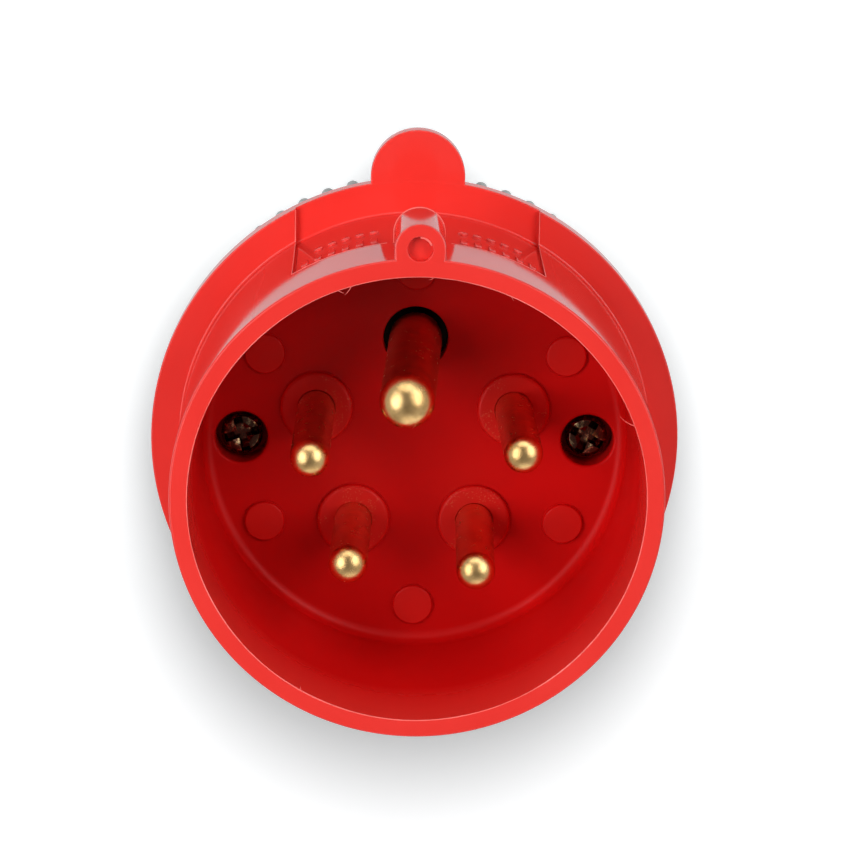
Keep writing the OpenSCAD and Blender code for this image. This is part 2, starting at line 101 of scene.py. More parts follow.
# pins and their holes, and what stands on the floor
PIN_CIRCLE_R, LIVE_D, EARTH_D = 13.8, 5.0, 7.0
LIVE_TIP_Z, EARTH_TIP_Z = RIM_Z - 6.2, RIM_Z - 0.9
PLATE_TOP_Z = FLOOR_Z - 3.1
COLLAR_END_Z = FLOOR_Z - 4.9
BARREL_END_Z = FLOOR_Z - 20.9
LIVE_BARREL_R, EARTH_BARREL_R = 4.0, 4.7
WIRE_BORE_R, WIRE_BORE_DEPTH = 2.1, 12.0
EARTH_ANGLE = 90.0
LIVE_ANGLES = {"pin_l1": 162.0, "pin_l2": 234.0, "pin_l3": 306.0, "pin_neutral": 18.0}
TIP_HEIGHT = 0.75  # of a pin's round tip, for a radius of 1
PIN_LEAN = {  # how far each tip stands from its pin's axis, in x and y
    "pin_l1": (-0.50, -0.83),
    "pin_l2": (-0.53, 0.74),
    "pin_l3": (-0.41, -0.05),
    "pin_neutral": (0.42, 0.0),
    "pin_earth": (-1.47, -1.74),
}
RING_D, RING_H = 9.8, 0.8
LIVE_HOLE_D, EARTH_HOLE_D = 5.06, 8.6
PIP_CIRCLE_R, PIP_D, PIP_H, PIP_COUNT = 23.1, 5.5, 0.6, 6

# housing screws
SCREW_X, COUNTERBORE_R, SCREW_HOLE_R, SCREW_SHANK_R = 23.1, 3.5, 1.85, 1.7
SCREW_HEAD_D, SCREW_HEAD_H, SCREW_HEAD_ROUND = 5.6, 2.9, 0.75
RECESS_DEPTH, RECESS_EDGE = 1.6, 0.07
SCREW_SEAT_Z = FLOOR_Z - 2.4 - 2.2
BOSS_END_Z, BOSS_R = SCREW_SEAT_Z - 1.5, 5.1

# rear housing, seal and gland nut
REAR_TOP_Z, BAND_LEN, BAND_R = FLANGE_BACK_Z - 1.2, 8.5, 33.2
BAND_END_Z = REAR_TOP_Z - BAND_LEN
REAR_MOUTH_R, REAR_WALL = 31.0, 2.2
GRIP_RIB_COUNT, GRIP_RIB_R, GRIP_RIB_H = 60, 0.9, 0.92  # the height is in rib radii
BODY_SWELL = 0.6
BODY_RIB_COUNT, BODY_RIB_H, BODY_RIB_HALF_W, BODY_RIB_FLANK = 12, 0.7, 0.9, 0.3
SHOULDER_R, SHOULDER_Z = 20.0, 32.2
THROAT_R, THROAT_Z = 9.5, 27.3
NECK_R, NECK_BORE_R, NECK_END_Z = 16.0, 12.5, 8.2
SEAL_Z, SEAL_T, SEAL_IN_R = FLANGE_BACK_Z - 1.1, 1, 31.15
NUT_R, NUT_LEN, NUT_END_T, NUT_BORE_R, NUT_ROUND = 20.0, 32.0, 4.0, 16.3, 1
ENTRY_R, ENTRY_ROUND = 9.0, 0.6
FLUTE_COUNT, FLUTE_DEPTH, FLUTE_HALF_W = 24, 0.7, 1.13
FLUTE_Z, FLUTE_RUN_OUT = 4.0, 1.2

# points round a turned form
SEG = 360
PIN_SEG, HOLE_SEG = 128, 96


# ---- mesh helpers: everything is built in millimetres and scaled once at the end ----


def polar(r, angle):
    return r * math.cos(math.radians(angle)), r * math.sin(math.radians(angle))


def arc(cx, cz, r, a0, a1, n=6):
    """Points of an arc in the (r, z) plane."""
    steps = [math.radians(a0 + (a1 - a0) * i / n) for i in range(n + 1)]
    return [(cx + r * math.cos(a), cz + r * math.sin(a)) for a in steps]


def around(r, centre_y, z, angles):
    """Points at height z on a circle about (0, centre_y), at the angles, in degrees."""
    steps = [math.radians(a) for a in angles]
    return [(r * math.cos(a), centre_y + r * math.sin(a), z) for a in steps]


def arch(r, centre_y, foot_y, z, step):
    """A half circle over +Y on two straight legs that stand at foot_y."""
    top = around(r, centre_y, z, range(0, 181, step))
    return [(r, foot_y, z)] + top + [(-r, foot_y, z)]


def lathe(outline, seg=SEG, at=(0.0, 0.0), wave=None):
    """A closed (r, z) outline turned about an axis at `at`. wave(phi, k) is added to the radius of
    point k."""
    bm = bmesh.new()
    rings = []
    for k, (r, z) in enumerate(outline):
        if r < 1e-6:
            rings.append([bm.verts.new((at[0], at[1], z))] * seg)
            continue
        ring = []
        for i in range(seg):
            phi = TAU * i / seg
            rr = r + (wave(phi, k) if wave else 0.0)
            ring.append(bm.verts.new((at[0] + rr * math.cos(phi), at[1] + rr * math.sin(phi), z)))
        rings.append(ring)
    for k, a in enumerate(rings):
        b = rings[(k + 1) % len(rings)]
        if a[0] is a[1] and b[0] is b[1]:
            continue
        for i in range(seg):
            j = (i + 1) % seg
            corners = list(dict.fromkeys((a[i], a[j], b[j], b[i])))
            bm.faces.new(corners)
    bmesh.ops.recalc_face_normals(bm, faces=bm.faces)
    return bm


def loft(loops, closed=False):
    """A solid through loops of equal length. It is capped at both ends, or closed into a ring."""
    bm = bmesh.new()
    rings = [[bm.verts.new(p) for p in loop] for loop in loops]
    for a, b in zip(rings, rings[1:] + (rings[:1] if closed else [])):
        for i in range(len(a)):
            j = (i + 1) % len(a)
            bm.faces.new((a[i], a[j], b[j], b[i]))
    if not closed:
        bm.faces.new(rings[0])
        bm.faces.new(rings[-1])
    bmesh.ops.recalc_face_normals(bm, faces=bm.faces)
    return bm


def scratch(bm, name="tool"):
    """A temporary object from a bmesh, in millimetres."""
    mesh = bpy.data.meshes.new(name)
    bm.to_mesh(mesh)
    bm.free()
    obj = bpy.data.objects.new(name, mesh)
    bpy.context.scene.collection.objects.link(obj)
    return obj


def taken(obj):
    """The mesh of a scratch object as a bmesh. The object itself goes."""
    bm = bmesh.new()
    bm.from_mesh(obj.data)
    bpy.data.objects.remove(obj)
    return bm


def absorb(bm, piece):
    """Adds the bmesh `piece` to `bm`, and frees it."""
    mesh = bpy.data.meshes.new("piece")
    piece.to_mesh(mesh)
    piece.free()
    bm.from_mesh(mesh)
    bpy.data.meshes.remove(mesh)


def boolean(base, bms, operation):
    """Joins, cuts or keeps the base with solids given as bmeshes, and returns the base."""
    tools = bpy.data.collections.new("tools")
    for bm in bms:
        tool = scratch(bm)
        bpy.context.scene.collection.objects.unlink(tool)
        tools.objects.link(tool)
    bpy.context.scene.collection.children.link(tools)
    mod = base.modifiers.new("cut", "BOOLEAN")
    mod.operand_type, mod.collection = "COLLECTION", tools
    mod.operation, mod.solver = operation, "MANIFOLD"
    bpy.context.view_layer.update()
    graph = bpy.context.evaluated_depsgraph_get()
    mesh = bpy.data.meshes.new_from_object(base.evaluated_get(graph))
    base.modifiers.clear()
    base.data = mesh
    for tool in list(tools.objects):
        bpy.data.objects.remove(tool)
    bpy.data.collections.remove(tools)
    return base


def finish_piece(obj, name, body, mat, replaces=(), sharp_angle=32):
    """Scales a scratch object to metres, shades it and hands it to the frame."""
    obj.data.transform(Matrix.Scale(MM, 4))
    obj.name = name
    obj.data.name = name
    obj.data.materials.clear()
    obj.data.materials.append(mat)
    for poly in obj.data.polygons:
        poly.use_smooth = True
        poly.material_index = 0
    obj.data.set_sharp_from_angle(angle=math.radians(sharp_angle))
    weighted = obj.modifiers.new("weighted", "WEIGHTED_NORMAL")
    weighted.keep_sharp = True
    weighted.weight = 90
    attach(obj, body)
    if replaces:
        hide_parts(*replaces)
    return obj


# ---- materials ----


def math_node(tree, operation, *values):
    """A math node's output, for numbers or other nodes' outputs."""
    node = tree.nodes.new("ShaderNodeMath")
    node.operation = operation
    for socket, value in zip(node.inputs, values):
        if isinstance(value, (int, float)):
            socket.default_value = value
        else:
            tree.links.new(value, socket)
    return node.outputs[0]


class Nodes:
    """Short forms for building a material's node tree. Coordinates are the object's, in metres."""

    def __init__(self, name):
        self.mat = bpy.data.materials.new(name)
        self.mat.use_nodes = True
        self.tree = self.mat.node_tree
        self.bsdf = self.tree.nodes["Principled BSDF"]
        self.coord = self.tree.nodes.new("ShaderNodeTexCoord").outputs["Object"]

    def link(self, a, b):
        self.tree.links.new(a, b)

    def set(self, **values):
        for key, value in values.items():
            self.bsdf.inputs[key.replace("_", " ")].default_value = value

    def axes(self):
        """The coordinates x, y and z."""
        split = self.tree.nodes.new("ShaderNodeSeparateXYZ")
        self.link(self.coord, split.inputs[0])
        return split.outputs

    def noise(self, scale, detail=2.0, rough=0.5, stretch=None):
        node = self.tree.nodes.new("ShaderNodeTexNoise")
        node.inputs["Scale"].default_value = scale
        node.inputs["Detail"].default_value = detail
        node.inputs["Roughness"].default_value = rough
        vector = self.coord
        if stretch:
            mapping = self.tree.nodes.new("ShaderNodeMapping")
            mapping.inputs["Scale"].default_value = stretch
            self.link(vector, mapping.inputs["Vector"])
            vector = mapping.outputs["Vector"]
        self.link(vector, node.inputs["Vector"])
        return node.outputs["Fac"]

    def spread(self, value, to, over=(0.3, 0.7)):
        """Maps the range `over` to the range `to`, and holds the ends."""
        node = self.tree.nodes.new("ShaderNodeMapRange")
        node.inputs["From Min"].default_value, node.inputs["From Max"].default_value = over
        node.inputs["To Min"].default_value, node.inputs["To Max"].default_value = to
        self.link(value, node.inputs["Value"])
        return node.outputs["Result"]

    def mix(self, factor, a, b):
        """From colour a, at factor 0, to colour b."""
        node = self.tree.nodes.new("ShaderNodeMix")
        node.data_type = "RGBA"
        self.link(factor, node.inputs["Factor"])
        for socket, value in ((node.inputs[6], a), (node.inputs[7], b)):
            if isinstance(value, tuple):
                socket.default_value = (*value, 1.0)
            else:
                self.link(value, socket)
        return node.outputs[2]

    def math(self, operation, *values):
        return math_node(self.tree, operation, *values)

    def product(self, a, b):
        return self.math("MULTIPLY", a, b)

    def bump(self, *layers):
        """Layers of (height, strength, distance in millimetres), each on top of the last."""
        normal = None
        for height, strength, distance in layers:
            node = self.tree.nodes.new("ShaderNodeBump")
            node.inputs["Strength"].default_value = strength
            node.inputs["Distance"].default_value = distance * MM
            self.link(height, node.inputs["Height"])
            if normal is not None:
                self.link(normal, node.inputs["Normal"])
            normal = node.outputs["Normal"]
        self.link(normal, self.bsdf.inputs["Normal"])

    def colour(self, output):
        self.link(output, self.bsdf.inputs["Base Color"])

    def roughness(self, output):
        self.link(output, self.bsdf.inputs["Roughness"])


# Painted shade: the red that the mouth's plastic darkens to with depth.
DEEP_SHADE_RED = (0.60, 0.0045, 0.0045)
# Painted shade: the darker red in the holes.
HOLE_SHADE_RED = (0.52, 0.006, 0.006)
DUST = (0.80, 0.36, 0.18)
# Painted shade: black for the pins' collars and necks down in their holes.
HOLE_SHADE_BLACK = (0.012, 0.008, 0.006)


def mouth_look(n, colour):
    """Red plastic down in the mouth, with painted shade: it darkens with depth, less so on the
    raised tops of the rings and pips, which is a painted highlight on them, and it is darkest in
    the holes. It has a little dust on the rings. Returns the colour, and a value that goes from 0
    at the rim to 1 deep inside."""
    x, y, z = n.axes()
    radius = n.math("SQRT", n.math("ADD", n.product(x, x), n.product(y, y)))
    inside = n.math("LESS_THAN", radius, (MOUTH_R + 0.15) * MM)
    buried = n.product(inside, n.spread(z, (1.0, 0.0), ((RIM_Z - 12) * MM, (RIM_Z - 1) * MM)))
    top_z = FLOOR_Z + (RING_H + PIP_H) / 2
    top_face = n.math("COMPARE", z, top_z * MM, 0.12 * MM)
    raised = n.product(top_face, n.math("LESS_THAN", radius, (CAVITY_R - 2) * MM))
    # Painted shade that grows with depth; the raised tops of rings and pips get less of it, a
    # painted highlight on them.
    colour = n.mix(n.math("SUBTRACT", buried, n.product(raised, 0.35)), colour, DEEP_SHADE_RED)
    # Painted shade down in the holes.
    hole = n.product(inside, n.math("LESS_THAN", z, (FLOOR_Z - 0.3) * MM))
    colour = n.mix(hole, colour, HOLE_SHADE_RED)
    rings_r = PIN_CIRCLE_R + RING_D / 2 + 0.3
    on_rings = n.product(raised, n.math("LESS_THAN", radius, rings_r * MM))
    specks = n.math("GREATER_THAN", n.noise(4200, 2, 0.5), 0.62)
    patches = n.math("GREATER_THAN", n.noise(330, 2, 0.5), 0.53)
    dusty = n.product(on_rings, n.product(n.product(specks, patches), 0.2))
    return n.mix(dusty, colour, DUST), buried


def moulded(name, light, dark, rough, grain, mouth=False):
    """Injection moulded plastic: faint flow streaks, small gloss changes and a fine skin. With
    `mouth`, it is less glossy down in the mouth, and darker there with painted shade."""
    n = Nodes(name)
    flow = n.noise(55, 3, 0.55, (1.0, 1.0, 0.35))
    colour = n.mix(n.spread(flow, (0.0, 1.0), (0.35, 0.65)), dark, light)
    gloss = n.spread(n.noise(90, 4, 0.6), rough)
    if mouth:
        colour, buried = mouth_look(n, colour)
        gloss = n.math("ADD", gloss, n.product(buried, 0.25))
        specular = n.math("SUBTRACT", 0.5, n.product(buried, 0.37))
        n.link(specular, n.bsdf.inputs["Specular IOR Level"])
    n.colour(colour)
    n.roughness(gloss)
    n.bump((n.noise(45, 2, 0.5), 0.06, 0.04), (n.noise(2600, 2, 0.6), grain, 0.01))
    n.set(IOR=1.5)
    return n.mat


def metal(name, light, dark, rough, draw=0.0, shade_band=None, patch_scale=420, patch_range=(0.4, 0.7)):
    """Turned or rolled metal with a faint grain and blotches of tarnish; on the screws, whose dark
    colour is near black, the blotches are painted shade. `draw` is the strength of the drawing
    lines, and `shade_band` gives the heights in millimetres between which it is painted black, as
    shade down in the holes."""
    n = Nodes(name)
    # Blotches between the two colours; where the dark one is near black, they are painted shade.
    tarnish_and_shade = n.spread(n.noise(patch_scale, 5, 0.65), (0.0, 1.0), patch_range)
    colour = n.mix(tarnish_and_shade, light, dark)
    if shade_band:
        height = n.axes()["Z"]
        above = n.math("GREATER_THAN", height, shade_band[0] * MM)
        below = n.math("LESS_THAN", height, shade_band[1] * MM)
        # Painted shade: black between the two heights.
        colour = n.mix(n.product(above, below), colour, HOLE_SHADE_BLACK)
    n.colour(colour)
    n.roughness(n.spread(n.noise(900, 3, 0.6), rough))
    layers = [(n.noise(6000, 3, 0.7), 0.7, 0.025)]
    if draw:
        layers.append((n.noise(500, 3, 0.6, (1.0, 1.0, 0.05)), draw, 0.01))
    n.bump(*layers)
    n.set(Metallic=1.0)
    return n.mat


def rubber(name, light, dark):
    """Matt rubber with a slightly uneven skin."""
    n = Nodes(name)
    n.colour(n.mix(n.spread(n.noise(300, 4, 0.6), (0.0, 1.0)), dark, light))
    n.roughness(n.spread(n.noise(500, 3, 0.6), (0.55, 0.75)))
    n.bump((n.noise(2200, 3, 0.6), 0.3, 0.04))
    return n.mat


RED = moulded(
    "red_plastic", (0.77, 0.034, 0.026), (0.74, 0.028, 0.021), (0.06, 0.10), 0.12, mouth=True
)
# A paler red for the flash: a painted highlight along the beads and curls.
RED_FLASH_HIGHLIGHT = moulded("red_flash_highlight", (0.90, 0.20, 0.18), (0.86, 0.12, 0.10), (0.2, 0.3), 0.12)
GREY = moulded("grey_plastic", (0.37, 0.39, 0.38), (0.33, 0.35, 0.345), (0.38, 0.50), 0.6)
INSULATOR = moulded(
    "insulator_plastic", (0.035, 0.036, 0.038), (0.025, 0.026, 0.028), (0.4, 0.55), 0.3
)
# Brass, painted black with shade where the collars and necks sit down in the holes.
BRASS = metal(
    "brass_turned", (0.88, 0.58, 0.25), (0.66, 0.40, 0.15), (0.18, 0.28), 0.2,
    shade_band=(COLLAR_END_Z + 0.2, FLOOR_Z - 0.05),
)
# Zinc whose near-black blotches cover most of each head: painted shade and painted dark reflection,
# for heads deep in their counterbores.
ZINC = metal(
    "yellow_zinc", (0.74, 0.52, 0.28), (0.08, 0.03, 0.02), (0.10, 0.22),
    patch_scale=1300, patch_range=(0.28, 0.46),
)
RUBBER = rubber("seal_rubber", (0.03, 0.03, 0.032), (0.018, 0.018, 0.02))


# ---- front housing ----


def front_outline():
    """The spigot, flange, shroud, cavity and floor, as one closed outline."""
    flange_r, root_r = FLANGE_R - FLANGE_EDGE, ROOT_R + ROOT_FILLET
    return (
        [(SPIGOT_IN_R, SPIGOT_END_Z), (SPIGOT_R - SPIGOT_EDGE, SPIGOT_END_Z)]
        + [(SPIGOT_R, SPIGOT_END_Z + SPIGOT_EDGE), (SPIGOT_R, FLANGE_BACK_Z)]
        + arc(flange_r, FLANGE_BACK_Z + FLANGE_EDGE, FLANGE_EDGE, -90, 0)
        + arc(flange_r, FLANGE_FRONT_Z - FLANGE_EDGE, FLANGE_EDGE, 0, 90)
        + arc(root_r, FLANGE_FRONT_Z + ROOT_FILLET, ROOT_FILLET, 270, 180, 12)
        + arc(SHROUD_R - RIM_ROUND, RIM_Z - RIM_ROUND, RIM_ROUND, 0, 90, 8)
        + arc(MOUTH_R + MOUTH_ROUND, RIM_Z - MOUTH_ROUND, MOUTH_ROUND, 90, 180, 4)
        + arc(CAVITY_R - FLOOR_FILLET, FLOOR_Z + FLOOR_FILLET, FLOOR_FILLET, 0, -90, 12)
        + [(0, FLOOR_Z), (0, FLOOR_BACK_Z), (SPIGOT_IN_R, FLOOR_BACK_Z)]
    )


def pocket_tool():
    """What the marking pocket takes away: a turned ring between two side planes."""
    floor_front_r = SHROUD_R - POCKET_DEPTH / 2
    floor_root_r = ROOT_R - POCKET_DEPTH / 2
    lead, corner = 0.3, 0.25
    clear_r = SHROUD_R + 0.12
    far_r, over_z = 45, POCKET_Z + 0.5
    outline = (
        arc(floor_root_r + ROOT_FILLET, POCKET_FACE_Z + ROOT_FILLET, ROOT_FILLET, 270, 180, 12)
        + arc(floor_front_r + corner, POCKET_Z - lead - corner, corner, 180, 90, 4)
        + arc(clear_r - lead, POCKET_Z, lead, -90, 0, 4)
        + [(clear_r, over_z), (far_r, over_z), (far_r, POCKET_FACE_Z - FLANGE_EDGE)]
        + arc(FLANGE_R - FLANGE_EDGE, POCKET_FACE_Z - FLANGE_EDGE, FLANGE_EDGE, 0, 90)
    )
    half, y0, y1, spare = POCKET_W / 2, 20, 46, 3
    slab = loft([
        [(-half, y0, z), (half, y0, z), (half, y1, z), (-half, y1, z)]
        for z in (POCKET_FACE_Z - spare, POCKET_Z + spare)
    ])
    return taken(boolean(scratch(lathe(outline)), [slab], "INTERSECT"))


def key_loops():
    """The key's arch with rounded ends, slightly wider towards the rear."""
    rows = [(RIM_Z - 0.02, KEY_EASE), (RIM_Z - 0.08, 0.1), (RIM_Z - KEY_EASE, 0.0)]
    rows += [(RIM_Z - KEY_LEN + KEY_EASE, 0.0), (RIM_Z - KEY_LEN + 0.07, 0.07)]
    rows += [(RIM_Z - KEY_LEN, KEY_EASE)]
    loops = []
    for z, inset in rows:
        grow = KEY_DRAFT * (RIM_Z - z) / KEY_LEN
        loops.append(arch(KEY_W / 2 + grow - inset, KEY_Y, KEY_FOOT_Y, z, 5))
    return loops


def lug_loops():
    """The half-round ear on the flange, with rounded edges."""
    top, low, e = POCKET_FACE_Z - 0.01, FLANGE_BACK_Z + 0.01, FLANGE_EDGE
    quarter = [math.radians(a) for a in (90, 60, 30, 0)]
    rows = [(low + e - e * math.sin(a), e - e * math.cos(a)) for a in quarter]
    rows += [(top - e + e * math.sin(a), e - e * math.cos(a)) for a in reversed(quarter)]
    return [arch(LUG_R - inset, LUG_Y, LUG_FOOT_Y, z, 4) for z, inset in rows]


def cylinder(at, r, low_z, top_z, seg=HOLE_SEG):
    return lathe([(0, low_z), (r, low_z), (r, top_z), (0, top_z)], seg, at)


def button(at, r, height, e):
    """A round raised form on the floor, with an edge of radius e."""
    top_z = FLOOR_Z + height
    edge = arc(r - e, top_z - e, e, 0, 90, 5)
    return lathe([(0, JOIN_Z), (r, JOIN_Z)] + edge + [(0, top_z)], HOLE_SEG, at)


def drill(at, r, low_z, mouth_z, e):
    """A round cutter whose mouth, at height mouth_z, flares into an edge of radius e."""
    flare = arc(r + e, mouth_z - e, e, 180, 90, 5)
    over_z = mouth_z + 3
    outline = [(0, low_z), (r, low_z)] + flare + [(r + e, over_z), (0, over_z)]
    return lathe(outline, HOLE_SEG, at)


def build_front():
    housing = scratch(lathe(front_outline()))
    boolean(housing, [pocket_tool()], "DIFFERENCE")

    live = [polar(PIN_CIRCLE_R, angle) for angle in LIVE_ANGLES.values()]
    pips = [polar(PIP_CIRCLE_R, EARTH_ANGLE + 360 / PIP_COUNT * i) for i in range(PIP_COUNT)]
    screws = [(side * SCREW_X, 0) for side in (-1, 1)]
    adds = [loft(key_loops()), loft(lug_loops())]
    adds += [button(at, RING_D / 2, RING_H, 0.6) for at in live]
    adds += [button(at, PIP_D / 2, PIP_H, 0.35) for at in pips]
    adds += [cylinder(at, BOSS_R, BOSS_END_Z, JOIN_Z) for at in screws]
    boolean(housing, adds, "UNION")

    through_z = FLOOR_BACK_Z - 1
    cuts = [drill((0, KEY_Y), KEY_HOLE_D / 2, RIM_Z - KEY_HOLE_DEPTH, RIM_Z - 0.02, 0.15)]
    cuts += [drill(at, LIVE_HOLE_D / 2, through_z, FLOOR_Z + RING_H, 0.04) for at in live]
    earth = polar(PIN_CIRCLE_R, EARTH_ANGLE)
    cuts.append(drill(earth, EARTH_HOLE_D / 2, through_z, FLOOR_Z, 0.15))
    for at in screws:
        cuts.append(drill(at, COUNTERBORE_R, SCREW_SEAT_Z, FLOOR_Z, 0.35))
        cuts.append(cylinder(at, SCREW_HOLE_R, BOSS_END_Z - 1, SCREW_SEAT_Z + 1, 64))
    boolean(housing, cuts, "DIFFERENCE")
    finish_piece(housing, "front_shell", "plug_body", RED, ["front_housing"])


build_front()

# ---- pins ----


def pin_outline(r, tip_z, barrel_r):
    """Barrel with its wire bore, collar, undercut, shaft and a slightly flattened round tip."""
    bore_z, low_z = BARREL_END_Z + WIRE_BORE_DEPTH, BARREL_END_Z
    collar_r, undercut_r, neck_z = barrel_r + 0.6, r - 0.5, FLOOR_Z - 0.6
    dome = []
    for a in (math.pi / 2 * i / 32 for i in range(32)):
        dome.append((r * math.cos(a), tip_z - TIP_HEIGHT * r * (1 - math.sin(a))))
    return (
        [(0, bore_z), (WIRE_BORE_R, bore_z), (WIRE_BORE_R, low_z)]
        + [(barrel_r - 0.5, low_z), (barrel_r, low_z + 0.5), (barrel_r, COLLAR_END_Z)]
        + [(collar_r, COLLAR_END_Z), (collar_r, PLATE_TOP_Z)]
        + [(undercut_r, PLATE_TOP_Z), (undercut_r, neck_z - 0.1)]
        + [(r - 0.1, neck_z - 0.1), (r, neck_z), (r, FLOOR_Z)]
        + dome
        + [(0, tip_z)]
    )


def build_pin(node, angle, r, tip_z, barrel_r):
    """A turned pin. Above the floor each pin leans by its own small amount."""
    lean = Vector(PIN_LEAN[node])
    at = polar(PIN_CIRCLE_R, angle)
    pin = scratch(lathe(pin_outline(r, tip_z, barrel_r), PIN_SEG, at))
    for v in pin.data.vertices:
        if v.co.z > FLOOR_Z:
            v.co.xy += lean * (v.co.z - FLOOR_Z) / (tip_z - FLOOR_Z)
    finish_piece(pin, node + "_turned", "plug_body", BRASS, [node], 50)


for node, angle in LIVE_ANGLES.items():
    build_pin(node, angle, LIVE_D / 2, LIVE_TIP_Z, LIVE_BARREL_R)
build_pin("pin_earth", EARTH_ANGLE, EARTH_D / 2, EARTH_TIP_Z, EARTH_BARREL_R)

# ---- housing screws ----


def cross_arm(turn, x, top_z):
    """One arm of a cross recess, narrower and shorter towards its bottom."""
    rows = (
        (top_z - RECESS_DEPTH, 1.1, 0.35),
        (top_z - RECESS_DEPTH * 0.5, 2.05, 0.5),
        (top_z, 2.4, 0.6),
        (top_z + 1, 2.5, 0.65),
    )
    turned = Matrix.Rotation(math.radians(turn), 3, "Z")
    loops = []
    for z, half_len, half_w in rows:
        loop = []
        for sx, sy in ((-1, -1), (1, -1), (1, 1), (-1, 1)):
            p = turned @ Vector((sx * half_len, sy * half_w, 0))
            loop.append((x + p.x, p.y, z))
        loops.append(loop)
    return loft(loops)


def centre_cone(turn, x, top_z):
    """The cross recess's eight-sided middle, which widens towards the top."""
    angles = [math.radians(turn) + TAU * (k + 0.5) / 8 for k in range(8)]
    rows = ((0.1, top_z - 0.75), (1.55, top_z - 0.12), (1.75, top_z + 1))
    return loft([[(x + q * math.cos(a), q * math.sin(a), z) for a in angles] for q, z in rows])


def build_screw(name, node, x, turn):
    top = SCREW_SEAT_Z + SCREW_HEAD_H
    low = SCREW_SEAT_Z + 0.1
    r, edge, dome = SCREW_HEAD_D / 2, 0.15, SCREW_HEAD_ROUND
    outline = (
        [(0, low - 3), (SCREW_SHANK_R, low - 3), (SCREW_SHANK_R, low)]
        + [(r - edge, low), (r, low + edge), (r, top - dome)]
        + arc(r - dome, top - dome, dome, 0, 78, 8)
        + [(0, top)]
    )
    screw = scratch(lathe(outline, HOLE_SEG, (x, 0)))
    recess = [cross_arm(turn, x, top), cross_arm(turn + 90, x, top), centre_cone(turn, x, top)]
    boolean(screw, recess, "DIFFERENCE")
    soften = screw.modifiers.new("edges", "BEVEL")
    soften.width, soften.segments = RECESS_EDGE * MM, 2
    soften.limit_method, soften.angle_limit = "ANGLE", math.radians(25)
    finish_piece(screw, name, "plug_body", ZINC, [node], 40)


build_screw("screw_head_left", "housing_screw_left", -SCREW_X, 15)
build_screw("screw_head_right", "housing_screw_right", SCREW_X, 62)

# ---- rear housing, seal and gland nut ----


def smooth(t):
    """0 to 1 with soft ends, as t goes from 0 to 1."""
    t = min(1.0, max(0.0, t))
    return t * t * (3 - 2 * t)


def spacing(phi, count, r, offset=0.5):
    """Distance along the arc from the nearest of `count` evenly spaced lines."""
    pitch = TAU / count
    d = (phi / pitch - offset) % 1.0
    return min(d, 1.0 - d) * pitch * r


def body_point(t):
    """Radius and height on the swelling taper, from the shoulder at t = 0 to the band at t = 1."""
    r = SHOULDER_R + (BAND_R - SHOULDER_R) * t + BODY_SWELL * math.sin(math.pi * t)
    return r, SHOULDER_Z + (BAND_END_Z - SHOULDER_Z) * t


def rear_rows():
    """The rear housing's outline as rows (r, z, height of the long ribs, 0 to 1 for grip ribs)."""

    def plain(points):
        return [(r, z, 0, 0) for r, z in points]

    rows = plain([(NECK_BORE_R, NECK_END_Z), (NECK_R - 0.6, NECK_END_Z)])
    rows += plain([(NECK_R, NECK_END_Z + 0.6), (NECK_R, SHOULDER_Z)])
    rows += plain([(SHOULDER_R - 0.5, SHOULDER_Z), (SHOULDER_R - 0.15, SHOULDER_Z + 0.15)])
    outer_steps, inner_steps, sunk = 48, 11, 0.3
    for i in range(1, outer_steps):
        t = i / outer_steps
        r, z = body_point(t)
        rib = (BODY_RIB_H + sunk) * math.sin(math.pi * t) - sunk
        rows.append((r, z, max(0.0, rib), 0))
    rows.append((BAND_R, BAND_END_Z, 0, 0))
    land, run_out = 0.6, 0.5
    quarter = [math.radians(90 * i / 4) for i in range(5)]
    for a in quarter:
        rise = run_out * (1 - math.cos(a))
        rows.append((BAND_R, BAND_END_Z + land + rise, 0, math.sin(a)))
    for a in reversed(quarter):
        rise = run_out * (1 - math.cos(a))
        rows.append((BAND_R, REAR_TOP_Z - land - rise, 0, math.sin(a)))
    rows += plain(arc(BAND_R - 0.4, REAR_TOP_Z - 0.4, 0.4, 0, 90, 4))
    rows += plain([(REAR_MOUTH_R, REAR_TOP_Z), (REAR_MOUTH_R, SPIGOT_END_Z - 0.1)])
    for i in range(inner_steps - 1, 0, -1):
        r, z = body_point(i / inner_steps)
        rows.append((r - REAR_WALL, z, 0, 0))
    rows += plain([(THROAT_R, SHOULDER_Z + REAR_WALL), (THROAT_R, THROAT_Z)])
    return rows + plain([(NECK_BORE_R, THROAT_Z)])


def build_rear():
    rows = rear_rows()

    def wave(phi, k):
        r, _, rib, grip = rows[k]
        grow = 0.0
        if rib:
            flank = (spacing(phi, BODY_RIB_COUNT, r) - BODY_RIB_HALF_W) / BODY_RIB_FLANK
            grow = rib * (1 - smooth(flank))
        if grip:
            d = spacing(phi, GRIP_RIB_COUNT, r) / GRIP_RIB_R
            grow = max(grow, GRIP_RIB_H * GRIP_RIB_R * math.sqrt(max(0.0, 1 - d * d)) * grip)
        return grow

    rear = scratch(lathe([row[:2] for row in rows], 2 * SEG, wave=wave))
    finish_piece(rear, "rear_shell", "plug_body", GREY, ["rear_housing"], 40)


